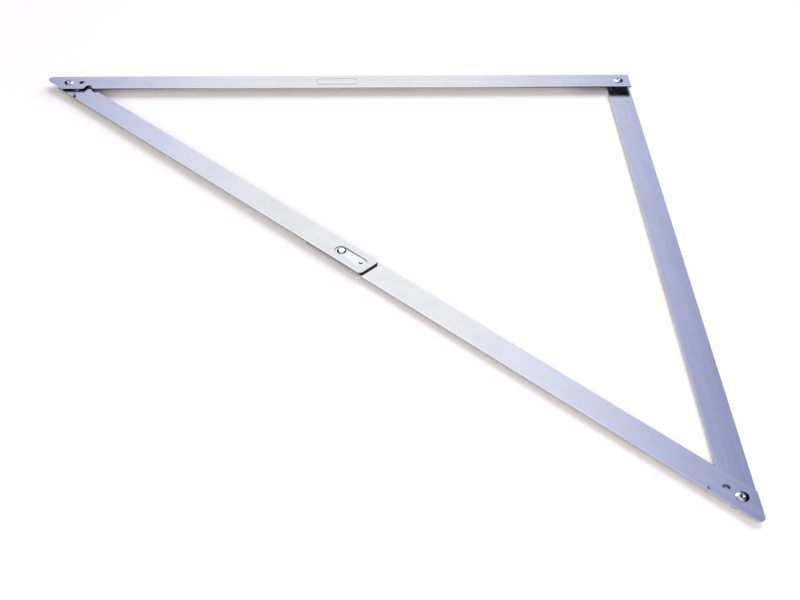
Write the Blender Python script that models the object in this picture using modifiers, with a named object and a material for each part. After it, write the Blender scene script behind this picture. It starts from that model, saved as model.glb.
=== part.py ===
"""A folding square: four flat aluminium bars, riveted at their ends into a right triangle with equal legs.

The triangle lies on XY with its right angle at +X +Y. The badge leg runs along X and the plain leg along Y.
The two braces make the long side and meet at its middle. The bars lie in four layers, from the floor up:
plain leg, plain brace, catch brace, badge leg. So the square folds to one bundle as long as a leg.

Each bar is drawn along its own +X, on an empty that stands on the bar's pivot and turns about +Z.
"""

import math

import bmesh
import bpy
from mathutils import Vector

# Bars. Each leg's outer edge is measured to the point where the edges of its tip would meet.
LEG_LENGTH = 0.6096
BAR_WIDTH = 0.0238
BAR_THICKNESS = 0.0016
TIP_RADIUS = 0.0045
BRACE_END_RADIUS = 0.0040
BRACE_OVERHANG = 0.0345  # from the middle pivot to the end of either brace
LEG_CORNER_RADIUS = 0.0004
EDGE_ROUNDING = 0.0002

# Layers.
RUNNING_GAP = 0.00005  # between faces that turn or rest on each other
THIN_WASHER = 0.0003
THICK_WASHER = 0.0007

# Pivot rivets.
SHANK_RADIUS = 0.0024
HOLE_CLEARANCE = 0.0001
HEAD_RADIUS = 0.0048
HEAD_FLAT_RADIUS = 0.0030
MIDDLE_HEAD_RADIUS = 0.0042
MIDDLE_FLAT_RADIUS = 0.0027
HEAD_HEIGHT = 0.0010
HEAD_EDGE = 0.0003
HEAD_EDGE_ROUNDING = 0.0001
DIMPLE_RADIUS = 0.0011
DIMPLE_FLOOR_RADIUS = 0.0006
DIMPLE_DEPTH = 0.00025
TAIL_RADIUS = 0.0038
TAIL_DEPTH = 0.0009
TAIL_PIT_RADIUS = 0.0013
TAIL_PIT_DEPTH = 0.0007
SPLIT_GAP = 0.0003  # between the two halves of the middle rivet, where the linkage is open
WASHER_RADIUS = 0.0055
MIDDLE_WASHER_RADIUS = 0.0048
SPACER_RADIUS = 0.0060

# Hang holes, which line up when the square is folded.
HANG_HOLE_RADIUS = 0.0029
HANG_HOLE_REACH = 0.0132

# Stop pins on the braces, and the notches of the legs that they drop into.
STOP_PIN_RADIUS = 0.0015
STOP_PIN_REACH = 0.0212
STOP_PIN_SIDE = 0.0091
STOP_PIN_ENTRY = 0.0013  # how far a pin reaches into the leg's layer
STOP_PIN_ROUNDING = 0.0003
PEENED_RADIUS = 0.0012
PEENED_DEPTH = 0.0002
NOTCH_MOUTH = 0.0090
NOTCH_TOP = 0.0035
NOTCH_DEPTH = 0.0062
NOTCH_MOUTH_RADIUS = 0.0012
NOTCH_TOP_RADIUS = 0.0016

# Catch: a leaf spring in a pocket of the catch brace, with a pin that locks the long side straight.
SPRING_LENGTH = 0.0347
SPRING_WIDTH = 0.0102
SPRING_TAIL = 0.0061  # from the middle pivot back to the leaf's rounded end
SPRING_THICKNESS = 0.0004
SPRING_EDGE_ROUNDING = 0.0001
POCKET_DEPTH = 0.0009
POCKET_CLEARANCE = 0.0003
CATCH_HEAD_RADIUS = 0.0017
CATCH_HEAD_HEIGHT = 0.0009
CATCH_HEAD_ROUNDING = 0.0005
CATCH_SHANK_RADIUS = 0.0012
CATCH_ENTRY = 0.0011  # how far the pin reaches into the plain brace
CATCH_POINT_ROUNDING = 0.0003

# Badge: an obround stamped into the badge leg, halfway along it.
BADGE_LENGTH = 0.0434
BADGE_WIDTH = 0.0120
BADGE_GROOVE = 0.0006
BADGE_DEPTH = 0.0002

CUT_OVERRUN = 0.0010
WELD_DISTANCE = 0.000001

TIP_ANGLE = math.radians(45)
ARC_STEP = math.radians(7.5)
SHARP_ANGLE = math.radians(30)
TURN_STEPS = 40
CUTTER_STEPS = 32
ROUNDING_STEPS = 3

ALUMINIUM = (0.74, 0.75, 0.80)
PLATED_STEEL = (0.62, 0.63, 0.66)
SPRING_STEEL = (0.86, 0.86, 0.88)
ZINC = (0.52, 0.53, 0.55)

# Places, all from the outer corner of the right angle.
HALF_WIDTH = BAR_WIDTH / 2
TIP_REACH = HALF_WIDTH / math.tan(TIP_ANGLE / 2)  # from a pivot to the point of a tip, along the bar
PIVOT_SPAN = LEG_LENGTH - TIP_REACH - HALF_WIDTH
BRACE_SPAN = PIVOT_SPAN * math.sqrt(2) / 2
OUTER_SPAN = LEG_LENGTH - TIP_RADIUS / math.tan(TIP_ANGLE / 2) + TIP_RADIUS

THIN_LAYER_GAP = THIN_WASHER + 2 * RUNNING_GAP
THICK_LAYER_GAP = THICK_WASHER + 2 * RUNNING_GAP
PLAIN_BRACE_Z = BAR_THICKNESS + THIN_LAYER_GAP
CATCH_BRACE_Z = PLAIN_BRACE_Z + BAR_THICKNESS + THIN_LAYER_GAP
BADGE_LEG_Z = CATCH_BRACE_Z + BAR_THICKNESS + THICK_LAYER_GAP

CATCH_REACH = SPRING_LENGTH - SPRING_TAIL - SPRING_WIDTH / 2
POCKET_FLOOR_Z = BAR_THICKNESS - POCKET_DEPTH
SPRING_Z = POCKET_FLOOR_Z + RUNNING_GAP
SPRING_TOP_Z = SPRING_Z + SPRING_THICKNESS
SPRING_CENTRE_X = BRACE_SPAN - SPRING_TAIL + SPRING_LENGTH / 2


def new_collection(name):
    collection = bpy.data.collections.new(name)
    bpy.context.scene.collection.children.link(collection)
    return collection


def new_material(name, colour, roughness, metallic=1.0):
    material = bpy.data.materials.new(name)
    material.use_nodes = True
    shader = material.node_tree.nodes["Principled BSDF"]
    shader.inputs["Base Color"].default_value = (*colour, 1.0)
    shader.inputs["Roughness"].default_value = roughness
    shader.inputs["Metallic"].default_value = metallic
    return material


def new_frame(name, location, angle=0.0, parent=None):
    """An empty on a pivot, turned so that its +X runs along the bar."""
    frame = bpy.data.objects.new(name, None)
    frame.empty_display_size = BAR_WIDTH
    frame.location = location
    frame.rotation_euler.z = angle
    frame.parent = parent
    parts.objects.link(frame)
    return frame


def add_object(name, mesh, frame, location=(0, 0, 0), material=None):
    """A piece in the parts' collection, or a hidden cutter where no material is given."""
    made = bpy.data.objects.new(name, mesh)
    made.parent = frame
    made.location = location
    if material:
        mesh.materials.append(material)
        parts.objects.link(made)
    else:
        made.hide_render = True
        made.display_type = "WIRE"
        cutters.objects.link(made)
    mesh.shade_smooth()
    mesh.set_sharp_from_angle(angle=SHARP_ANGLE)
    return made


def evaluated_mesh(made):
    """The object's mesh with its modifiers applied and its seams welded. The object itself is removed."""
    bpy.context.view_layer.update()
    graph = bpy.context.evaluated_depsgraph_get()
    mesh = bpy.data.meshes.new_from_object(made.evaluated_get(graph))
    bm = bmesh.new()
    bm.from_mesh(mesh)
    bmesh.ops.remove_doubles(bm, verts=bm.verts, dist=WELD_DISTANCE)
    bmesh.ops.dissolve_limit(bm, angle_limit=ARC_STEP / 4, verts=bm.verts, edges=bm.edges)
    bmesh.ops.recalc_face_normals(bm, faces=bm.faces)
    bm.to_mesh(mesh)
    bm.free()
    bpy.data.objects.remove(made)
    return mesh


def filleted(corners):
    """The points of a closed outline, with an arc of its own radius at each corner (x, y, radius)."""
    points = []
    for index, (x, y, radius) in enumerate(corners):
        corner = Vector((x, y))
        back = (Vector(corners[index - 1][:2]) - corner).normalized()
        ahead = (Vector(corners[(index + 1) % len(corners)][:2]) - corner).normalized()
        half = back.angle(ahead) / 2
        turn = math.pi - 2 * half
        centre = corner + (back + ahead).normalized() * radius / math.sin(half)
        start = corner + back * radius / math.tan(half) - centre
        side = 1 if back.cross(ahead) < 0 else -1
        count = max(1, round(turn / ARC_STEP)) if radius else 0
        for step in range(count + 1):
            angle = math.atan2(start.y, start.x) + side * turn * step / max(1, count)
            point = centre + radius * Vector((math.cos(angle), math.sin(angle)))
            if not points or (point - points[-1]).length > WELD_DISTANCE:
                points.append(point)
    return points


def plate_mesh(name, corners, thickness):
    """A flat plate from z = 0 up, its outline drawn as a filled curve."""
    curve = bpy.data.curves.new(name, "CURVE")
    curve.dimensions = "2D"
    curve.fill_mode = "BOTH"
    curve.extrude = thickness / 2
    points = filleted(corners)
    spline = curve.splines.new("POLY")
    spline.points.add(len(points) - 1)
    for target, (x, y) in zip(spline.points, points):
        target.co = (x, y, 0, 1)
    spline.use_cyclic_u = True
    drawn = bpy.data.objects.new(name, curve)
    parts.objects.link(drawn)
    mesh = evaluated_mesh(drawn)
    bpy.data.curves.remove(curve)
    for vertex in mesh.vertices:
        vertex.co.z += thickness / 2
    return mesh


def obround(length, width, centre_x=0.0):
    """The corners of a slot shape along X."""
    radius = width / 2
    return [
        (centre_x + sign_x * length / 2, sign_y * radius, radius)
        for sign_x, sign_y in ((-1, -1), (1, -1), (1, 1), (-1, 1))
    ]


def turned_mesh(name, profile, steps=TURN_STEPS):
    """A round solid about Z, from (radius, z) points that run down its outer side."""
    mesh = bpy.data.meshes.new(name)
    edges = [(i, i + 1) for i in range(len(profile) - 1)]
    mesh.from_pydata([(radius, 0, z) for radius, z in profile], edges, [])
    drawn = bpy.data.objects.new(name, mesh)
    parts.objects.link(drawn)
    turn = drawn.modifiers.new("Turn", "SCREW")
    turn.steps = turn.render_steps = steps
    turn.use_merge_vertices = True
    turn.merge_threshold = WELD_DISTANCE
    solid = evaluated_mesh(drawn)
    bpy.data.meshes.remove(mesh)
    return solid


def rounded_step(radius, z, rounding, down=True):
    """Points of a rounded outer edge at this radius, above z when it turns down, below z when it turns in."""
    points = []
    for step in range(ROUNDING_STEPS + 1):
        angle = math.pi / 2 * step / ROUNDING_STEPS
        out, along = rounding * (1 - math.sin(angle)), rounding * (1 - math.cos(angle))
        points.append((radius - out, z - along) if down else (radius - along, z + out))
    return points


def ring_mesh(name, radius, bore, thickness):
    """A washer or collar from z = 0 up."""
    mesh = bpy.data.meshes.new(name)
    bm = bmesh.new()
    rims = [
        bmesh.ops.create_circle(bm, radius=r, segments=TURN_STEPS, cap_ends=False)["verts"]
        for r in (radius, bore)
    ]
    edges = [edge for edge in bm.edges if edge.is_wire]
    bmesh.ops.bridge_loops(bm, edges=edges)
    sides = bmesh.ops.extrude_face_region(bm, geom=bm.faces[:] + bm.edges[:] + rims[0] + rims[1])
    raised = [item for item in sides["geom"] if isinstance(item, bmesh.types.BMVert)]
    bmesh.ops.translate(bm, verts=raised, vec=(0, 0, thickness))
    bmesh.ops.recalc_face_normals(bm, faces=bm.faces)
    bm.to_mesh(mesh)
    bm.free()
    return mesh


def cylinder_mesh(name, radius_low, radius_high, low, high, steps=CUTTER_STEPS):
    mesh = bpy.data.meshes.new(name)
    bm = bmesh.new()
    made = bmesh.ops.create_cone(
        bm, cap_ends=True, segments=steps, radius1=radius_low, radius2=radius_high, depth=high - low
    )
    bmesh.ops.translate(bm, verts=made["verts"], vec=(0, 0, (low + high) / 2))
    bm.to_mesh(mesh)
    bm.free()
    return mesh


def cut(piece, cutter):
    boolean = piece.modifiers.new(cutter.name, "BOOLEAN")
    boolean.operation = "DIFFERENCE"
    boolean.object = cutter


def drill(bar, label, x, y, radius, countersunk=False):
    """A hole through a bar, with room below for a flush tail where it is countersunk."""
    name = f"{bar.name}_{label}_hole"
    hole = cylinder_mesh(name, radius, radius, -CUT_OVERRUN, BAR_THICKNESS + CUT_OVERRUN)
    cut(bar, add_object(name, hole, bar.parent, (x, y, bar.location.z)))
    if countersunk:
        slope = (TAIL_RADIUS - SHANK_RADIUS) / TAIL_DEPTH
        widest = radius + TAIL_RADIUS - SHANK_RADIUS
        name = f"{bar.name}_{label}_sink"
        sink = cylinder_mesh(name, widest + slope * CUT_OVERRUN, radius, -CUT_OVERRUN, TAIL_DEPTH)
        cut(bar, add_object(name, sink, bar.parent, (x, y, bar.location.z)))


def add_bar(name, frame, z, corners):
    """A bar with softened edges, ready to be cut."""
    bar = add_object(name, plate_mesh(name, corners, BAR_THICKNESS), frame, (0, 0, z),
                     new_material(name, ALUMINIUM, 0.38))
    soften = bar.modifiers.new("Edges", "BEVEL")
    soften.width = EDGE_ROUNDING
    soften.limit_method = "ANGLE"
    soften.angle_limit = SHARP_ANGLE
    return bar


def pointed_end():
    """The tip of a bar beyond its pivot, cut in line with the bar that it meets."""
    return [
        (-TIP_REACH, HALF_WIDTH, TIP_RADIUS),
        (BAR_WIDTH / math.tan(TIP_ANGLE) - TIP_REACH, -HALF_WIDTH, 0),
    ]


def near_end(reach, radius):
    return [(-reach, HALF_WIDTH, radius), (-reach, -HALF_WIDTH, radius)]


def far_end(x, radius):
    return [(x, -HALF_WIDTH, radius), (x, HALF_WIDTH, radius)]


def notch(centre_x):
    """The rounded notch in a leg's inner edge that takes a stop pin."""
    top_y = NOTCH_DEPTH - HALF_WIDTH
    return [
        (centre_x - NOTCH_MOUTH / 2, -HALF_WIDTH, NOTCH_MOUTH_RADIUS),
        (centre_x - NOTCH_TOP / 2, top_y, NOTCH_TOP_RADIUS),
        (centre_x + NOTCH_TOP / 2, top_y, NOTCH_TOP_RADIUS),
        (centre_x + NOTCH_MOUTH / 2, -HALF_WIDTH, NOTCH_MOUTH_RADIUS),
    ]


def head_profile(seat_z, radius, flat_radius):
    """A low head with a sloping rim and a small dimple, down to its seat."""
    top = seat_z + HEAD_HEIGHT
    edge = seat_z + HEAD_EDGE
    return [
        (0, top - DIMPLE_DEPTH),
        (DIMPLE_FLOOR_RADIUS, top - DIMPLE_DEPTH),
        (DIMPLE_RADIUS, top),
        (flat_radius, top),
        (radius - HEAD_EDGE_ROUNDING, edge + HEAD_EDGE_ROUNDING),
        (radius, edge),
        (radius, seat_z),
        (SHANK_RADIUS, seat_z),
    ]


def tail_profile(low_z):
    """A tail spread into a countersink, with the pit of its hollow end."""
    return [
        (SHANK_RADIUS, low_z + TAIL_DEPTH),
        (TAIL_RADIUS, low_z),
        (TAIL_PIT_RADIUS, low_z),
        (0, low_z + TAIL_PIT_DEPTH),
    ]


def add_rivet(name, frame, x, y, head_z, tail_z):
    """A rivet with its head seated at head_z and its tail flush with the underside at tail_z."""
    profile = head_profile(head_z + RUNNING_GAP, HEAD_RADIUS, HEAD_FLAT_RADIUS)
    profile += tail_profile(tail_z + RUNNING_GAP)
    add_object(name, turned_mesh(name, profile), frame, (x, y, 0), new_material(name, PLATED_STEEL, 0.18))


def add_ring(name, frame, x, y, low_z, radius, thickness):
    """A washer or collar round a rivet's shank."""
    bore = SHANK_RADIUS + HOLE_CLEARANCE
    add_object(name, ring_mesh(name, radius, bore, thickness), frame, (x, y, low_z + RUNNING_GAP),
               new_material(name, ZINC, 0.45))


def add_stop_pin(name, frame, y, brace_z, leg_gap, up):
    """A pin peened flush into a brace, standing out towards the leg that it stops in."""
    length = BAR_THICKNESS + leg_gap + STOP_PIN_ENTRY - RUNNING_GAP
    profile = [(0, length)]
    profile += rounded_step(STOP_PIN_RADIUS, length, STOP_PIN_ROUNDING)
    profile += [(STOP_PIN_RADIUS, 0), (PEENED_RADIUS, 0), (0, PEENED_DEPTH)]
    foot = brace_z + RUNNING_GAP
    if not up:
        profile = [(radius, -z) for radius, z in reversed(profile)]
        foot = brace_z + BAR_THICKNESS - RUNNING_GAP
    add_object(name, turned_mesh(name, profile), frame, (STOP_PIN_REACH, y, foot),
               new_material(name, PLATED_STEEL, 0.25))


for old in list(bpy.data.objects):
    bpy.data.objects.remove(old)

parts = new_collection("Folding square")
cutters = new_collection("Cutters")

# The four pivots' frames. The origin of the part is at the middle of its box, on the floor.
corner = new_frame("outer_corner", (OUTER_SPAN / 2, OUTER_SPAN / 2, 0))
left_pivot = (TIP_REACH - LEG_LENGTH, -HALF_WIDTH, 0)
corner_pivot = (-HALF_WIDTH, -HALF_WIDTH, 0)
right_pivot = (-HALF_WIDTH, TIP_REACH - LEG_LENGTH, 0)
badge_leg_frame = new_frame("badge_leg_frame", left_pivot, 0, corner)
plain_leg_frame = new_frame("plain_leg_frame", corner_pivot, -math.pi / 2, corner)
catch_brace_frame = new_frame("catch_brace_frame", left_pivot, -TIP_ANGLE, corner)
plain_brace_frame = new_frame("plain_brace_frame", right_pivot, math.pi - TIP_ANGLE, corner)

# The badge leg is pointed at the left pivot and square at the corner.
badge_leg = add_bar(
    "badge_leg", badge_leg_frame, BADGE_LEG_Z,
    pointed_end() + notch(STOP_PIN_REACH) + far_end(PIVOT_SPAN + HALF_WIDTH, LEG_CORNER_RADIUS),
)
pivot_bore = SHANK_RADIUS + HOLE_CLEARANCE
drill(badge_leg, "left_pivot", 0, 0, pivot_bore)
drill(badge_leg, "corner_pivot", PIVOT_SPAN, 0, pivot_bore)
drill(badge_leg, "hang", HANG_HOLE_REACH, 0, HANG_HOLE_RADIUS)
badge_x = LEG_LENGTH / 2 - TIP_REACH
badge_rim = add_object(
    "badge_rim", plate_mesh("badge_rim", obround(BADGE_LENGTH, BADGE_WIDTH), BADGE_DEPTH + CUT_OVERRUN),
    badge_leg_frame, (badge_x, 0, BADGE_LEG_Z + BAR_THICKNESS - BADGE_DEPTH),
)
badge_field = add_object(
    "badge_field",
    plate_mesh("badge_field", obround(BADGE_LENGTH - 2 * BADGE_GROOVE, BADGE_WIDTH - 2 * BADGE_GROOVE),
               BADGE_DEPTH + 3 * CUT_OVERRUN),
    badge_leg_frame, (badge_x, 0, BADGE_LEG_Z + BAR_THICKNESS - BADGE_DEPTH - CUT_OVERRUN),
)
cut(badge_rim, badge_field)
cut(badge_leg, badge_rim)

# The plain leg is square at the corner and round at the right pivot, under the plain brace.
plain_leg = add_bar(
    "plain_leg", plain_leg_frame, 0,
    near_end(HALF_WIDTH, LEG_CORNER_RADIUS) + notch(PIVOT_SPAN - STOP_PIN_REACH)
    + far_end(PIVOT_SPAN + HALF_WIDTH, HALF_WIDTH),
)
drill(plain_leg, "corner_pivot", 0, 0, pivot_bore, countersunk=True)
drill(plain_leg, "right_pivot", PIVOT_SPAN, 0, pivot_bore, countersunk=True)
drill(plain_leg, "hang", PIVOT_SPAN - HANG_HOLE_REACH, 0, HANG_HOLE_RADIUS)

# The catch brace is round at the left pivot, under the badge leg, and carries the catch at its other end.
catch_brace = add_bar(
    "catch_brace", catch_brace_frame, CATCH_BRACE_Z,
    near_end(HALF_WIDTH, HALF_WIDTH) + far_end(BRACE_SPAN + BRACE_OVERHANG, BRACE_END_RADIUS),
)
drill(catch_brace, "left_pivot", 0, 0, pivot_bore, countersunk=True)
drill(catch_brace, "hang", HANG_HOLE_REACH, 0, HANG_HOLE_RADIUS)
drill(catch_brace, "stop", STOP_PIN_REACH, -STOP_PIN_SIDE, STOP_PIN_RADIUS + HOLE_CLEARANCE)
drill(catch_brace, "middle_pivot", BRACE_SPAN, 0, pivot_bore)
drill(catch_brace, "catch", BRACE_SPAN + CATCH_REACH, 0, CATCH_SHANK_RADIUS + POCKET_CLEARANCE)
pocket_corners = obround(SPRING_LENGTH + 2 * POCKET_CLEARANCE, SPRING_WIDTH + 2 * POCKET_CLEARANCE)
cut(catch_brace, add_object(
    "catch_pocket", plate_mesh("catch_pocket", pocket_corners, POCKET_DEPTH + CUT_OVERRUN),
    catch_brace_frame, (SPRING_CENTRE_X, 0, CATCH_BRACE_Z + POCKET_FLOOR_Z),
))

# The plain brace is pointed at the right pivot, and its other end lies under the catch brace.
plain_brace = add_bar(
    "plain_brace", plain_brace_frame, PLAIN_BRACE_Z,
    pointed_end() + far_end(BRACE_SPAN + BRACE_OVERHANG, BRACE_END_RADIUS),
)
drill(plain_brace, "right_pivot", 0, 0, pivot_bore)
drill(plain_brace, "hang", HANG_HOLE_REACH, 0, HANG_HOLE_RADIUS)
drill(plain_brace, "stop", STOP_PIN_REACH, STOP_PIN_SIDE, STOP_PIN_RADIUS + HOLE_CLEARANCE)
drill(plain_brace, "middle_pivot", BRACE_SPAN, 0, pivot_bore, countersunk=True)
drill(plain_brace, "catch", BRACE_SPAN - CATCH_REACH, 0, CATCH_SHANK_RADIUS + POCKET_CLEARANCE)

# Rivets, washers and the collar that fills the two empty layers at the corner.
leg_top = BADGE_LEG_Z + BAR_THICKNESS
add_rivet("left_rivet", badge_leg_frame, 0, 0, leg_top, CATCH_BRACE_Z)
add_rivet("corner_rivet", badge_leg_frame, PIVOT_SPAN, 0, leg_top, 0)
add_rivet("right_rivet", plain_leg_frame, PIVOT_SPAN, 0, PLAIN_BRACE_Z + BAR_THICKNESS, 0)
add_ring("left_washer", badge_leg_frame, 0, 0, CATCH_BRACE_Z + BAR_THICKNESS, WASHER_RADIUS, THICK_WASHER)
add_ring("right_washer", plain_leg_frame, PIVOT_SPAN, 0, BAR_THICKNESS, WASHER_RADIUS, THIN_WASHER)
add_ring("middle_washer", catch_brace_frame, BRACE_SPAN, 0, PLAIN_BRACE_Z + BAR_THICKNESS,
         MIDDLE_WASHER_RADIUS, THIN_WASHER)
add_ring("corner_collar", badge_leg_frame, PIVOT_SPAN, 0, BAR_THICKNESS, SPACER_RADIUS,
         BADGE_LEG_Z - BAR_THICKNESS - 2 * RUNNING_GAP)

# The middle rivet is in two halves, so that the braces can part there: a head with the catch brace, and a
# tail with the plain brace.
brace_top = PLAIN_BRACE_Z + BAR_THICKNESS
upper_end = brace_top + RUNNING_GAP
add_object(
    "middle_rivet",
    turned_mesh("middle_rivet",
                head_profile(CATCH_BRACE_Z + SPRING_TOP_Z + RUNNING_GAP, MIDDLE_HEAD_RADIUS, MIDDLE_FLAT_RADIUS)
                + [(SHANK_RADIUS, upper_end), (0, upper_end)]),
    catch_brace_frame, (BRACE_SPAN, 0, 0), new_material("middle_rivet", PLATED_STEEL, 0.18),
)
lower_end = upper_end - SPLIT_GAP
add_object(
    "middle_rivet_tail",
    turned_mesh("middle_rivet_tail",
                [(0, lower_end), (SHANK_RADIUS, lower_end)] + tail_profile(PLAIN_BRACE_Z + RUNNING_GAP)),
    plain_brace_frame, (BRACE_SPAN, 0, 0), new_material("middle_rivet_tail", PLATED_STEEL, 0.3),
)

# The catch: the leaf lies in its pocket under the rivet's head, and its pin stands in the plain brace.
spring = add_object(
    "catch_spring",
    plate_mesh("catch_spring", obround(SPRING_LENGTH, SPRING_WIDTH), SPRING_THICKNESS),
    catch_brace_frame, (SPRING_CENTRE_X, 0, CATCH_BRACE_Z + SPRING_Z),
    new_material("catch_spring", SPRING_STEEL, 0.22),
)
soft_edge = spring.modifiers.new("Edges", "BEVEL")
soft_edge.width = SPRING_EDGE_ROUNDING
soft_edge.limit_method = "ANGLE"
soft_edge.angle_limit = SHARP_ANGLE
for label, x, radius in (
    ("pivot", BRACE_SPAN, pivot_bore),
    ("pin", BRACE_SPAN + CATCH_REACH, CATCH_SHANK_RADIUS + HOLE_CLEARANCE),
):
    hole_name = f"catch_spring_{label}_hole"
    hole_mesh = cylinder_mesh(hole_name, radius, radius, -CUT_OVERRUN, SPRING_THICKNESS + CUT_OVERRUN)
    cut(spring, add_object(hole_name, hole_mesh, catch_brace_frame, (x, 0, spring.location.z)))

catch_seat = CATCH_BRACE_Z + SPRING_TOP_Z + RUNNING_GAP
catch_point = brace_top - CATCH_ENTRY
catch_profile = [(0, catch_seat + CATCH_HEAD_HEIGHT)]
catch_profile += rounded_step(CATCH_HEAD_RADIUS, catch_seat + CATCH_HEAD_HEIGHT, CATCH_HEAD_ROUNDING)
catch_profile += [(CATCH_HEAD_RADIUS, catch_seat), (CATCH_SHANK_RADIUS, catch_seat)]
catch_profile += rounded_step(CATCH_SHANK_RADIUS, catch_point, CATCH_POINT_ROUNDING, down=False)
catch_profile += [(0, catch_point)]
add_object("catch_pin", turned_mesh("catch_pin", catch_profile), catch_brace_frame,
           (BRACE_SPAN + CATCH_REACH, 0, 0), new_material("catch_pin", PLATED_STEEL, 0.2))

# The stop pins: up from the catch brace, and down from the plain brace.
add_stop_pin("left_stop_pin", catch_brace_frame, -STOP_PIN_SIDE, CATCH_BRACE_Z, THICK_LAYER_GAP, up=True)
add_stop_pin("right_stop_pin", plain_brace_frame, STOP_PIN_SIDE, PLAIN_BRACE_Z, THIN_LAYER_GAP, up=False)
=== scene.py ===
import math

import bmesh
import bpy
from mathutils import Matrix, Vector


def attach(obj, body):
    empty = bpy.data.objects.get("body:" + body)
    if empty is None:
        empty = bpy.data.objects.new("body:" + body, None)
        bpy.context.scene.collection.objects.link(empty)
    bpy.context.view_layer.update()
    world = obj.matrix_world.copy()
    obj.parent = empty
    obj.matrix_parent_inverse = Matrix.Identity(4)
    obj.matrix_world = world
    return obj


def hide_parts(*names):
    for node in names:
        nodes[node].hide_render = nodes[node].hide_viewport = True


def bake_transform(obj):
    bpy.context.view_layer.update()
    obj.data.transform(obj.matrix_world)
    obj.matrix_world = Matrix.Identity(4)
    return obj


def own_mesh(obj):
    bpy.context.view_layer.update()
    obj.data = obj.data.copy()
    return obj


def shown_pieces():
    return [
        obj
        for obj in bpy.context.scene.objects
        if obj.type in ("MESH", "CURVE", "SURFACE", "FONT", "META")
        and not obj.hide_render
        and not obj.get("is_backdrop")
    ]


# %% [markdown]
# # A folding square
#
# This is a builder's folding square: four flat aluminium bars, riveted into a right triangle, with a spring
# catch in the middle of the long side. The bars, pins and washers come in as solids, already in place and
# in metres. This lesson gives them their metal, sets the light and the camera, and makes the pieces that a
# faceted solid can't show well, such as the turned rivets and the leaf that bends when the catch is lifted.

# %% Load the solids
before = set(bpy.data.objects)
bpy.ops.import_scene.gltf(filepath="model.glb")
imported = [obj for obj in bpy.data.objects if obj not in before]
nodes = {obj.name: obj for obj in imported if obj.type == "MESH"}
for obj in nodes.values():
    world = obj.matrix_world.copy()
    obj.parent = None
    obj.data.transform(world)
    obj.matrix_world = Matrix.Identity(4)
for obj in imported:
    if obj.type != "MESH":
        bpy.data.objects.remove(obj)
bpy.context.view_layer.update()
print(f"{len(nodes)} solids:", ", ".join(sorted(nodes)))

# %% [markdown]
# ## The camera
#
# The photograph looks down at the square from the front, at about forty degrees. Turn, tilt and roll are
# kept as three plain angles, because they say what a photographer would do with the tripod. The turn comes
# first, then the tilt, and the roll goes round the line of sight.

# %% Camera
CAMERA_PLACE = Vector((0.03076, -0.87242, 0.67837))
CAMERA_TURN = math.radians(-1.670)
CAMERA_TILT = math.radians(50.287)  # 0 looks straight down
CAMERA_ROLL = math.radians(0.607)
CAMERA_LENS = 57.329  # in millimetres, on a sensor 36 mm wide

camera_data = bpy.data.cameras.new("Camera")
camera_data.lens = CAMERA_LENS
camera = bpy.data.objects.new("Camera", camera_data)
turned = Matrix.Rotation(CAMERA_TURN, 4, "Z") @ Matrix.Rotation(CAMERA_TILT, 4, "X")
camera.matrix_world = Matrix.Translation(CAMERA_PLACE) @ turned @ Matrix.Rotation(CAMERA_ROLL, 4, "Z")
bpy.context.scene.collection.objects.link(camera)
bpy.context.scene.camera = camera
print("camera", [round(v, 4) for v in CAMERA_PLACE], f"lens {CAMERA_LENS} mm")

# %% [markdown]
# ## Helpers for nodes
#
# Every look below is a small tree of nodes. One helper makes a node, sets its options, and either links or
# fills its inputs, so that each tree reads as a list of steps. The others are for what comes up most: sums,
# smooth steps and colour mixes.

# %% Node helpers
def add_node(tree, kind, inputs=None, **options):
    """Adds a node. inputs maps a socket's name or number to a value, or to the socket that feeds it."""
    node = tree.nodes.new(kind)
    for option, value in options.items():
        setattr(node, option, value)
    for key, value in (inputs or {}).items():
        if isinstance(value, bpy.types.NodeSocket):
            tree.links.new(value, node.inputs[key])
        else:
            node.inputs[key].default_value = value
    return node


def add_sum(tree, operation, *values):
    """The result of a Math node, whose inputs are numbers or sockets."""
    return add_node(tree, "ShaderNodeMath", dict(enumerate(values)), operation=operation).outputs[0]


def add_range(tree, value, low, high, to_low=0.0, to_high=1.0):
    """A smooth step of a value from low to high."""
    inputs = {"Value": value, "From Min": low, "From Max": high, "To Min": to_low, "To Max": to_high}
    return add_node(tree, "ShaderNodeMapRange", inputs, interpolation_type="SMOOTHSTEP").outputs[0]


def add_mix(tree, factor, a, b):
    """A colour mix. a and b are colours or sockets."""
    node = add_node(tree, "ShaderNodeMix", {"Factor": factor}, data_type="RGBA")
    for key, value in (("A", a), ("B", b)):
        if isinstance(value, bpy.types.NodeSocket):
            tree.links.new(value, node.inputs[key])
        else:
            node.inputs[key].default_value = (*value, 1.0)
    return node.outputs["Result"]


# %% [markdown]
# ## Floor
#
# The square lies on a white sweep. A matt plane, far larger than the view, is enough. The light is set so
# strong that the open floor just goes to plain white, and only the soft shadows show. The white is a little
# warm, which cancels the blue of the studio walls in the shadows.

# %% Floor
FLOOR_SIZE = 12.0
FLOOR_DROP = 0.0015  # below the lowest face of the square
FLOOR_WHITE = (0.965, 0.92, 0.83, 1.0)
FLOOR_ROUGHNESS = 0.9

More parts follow.
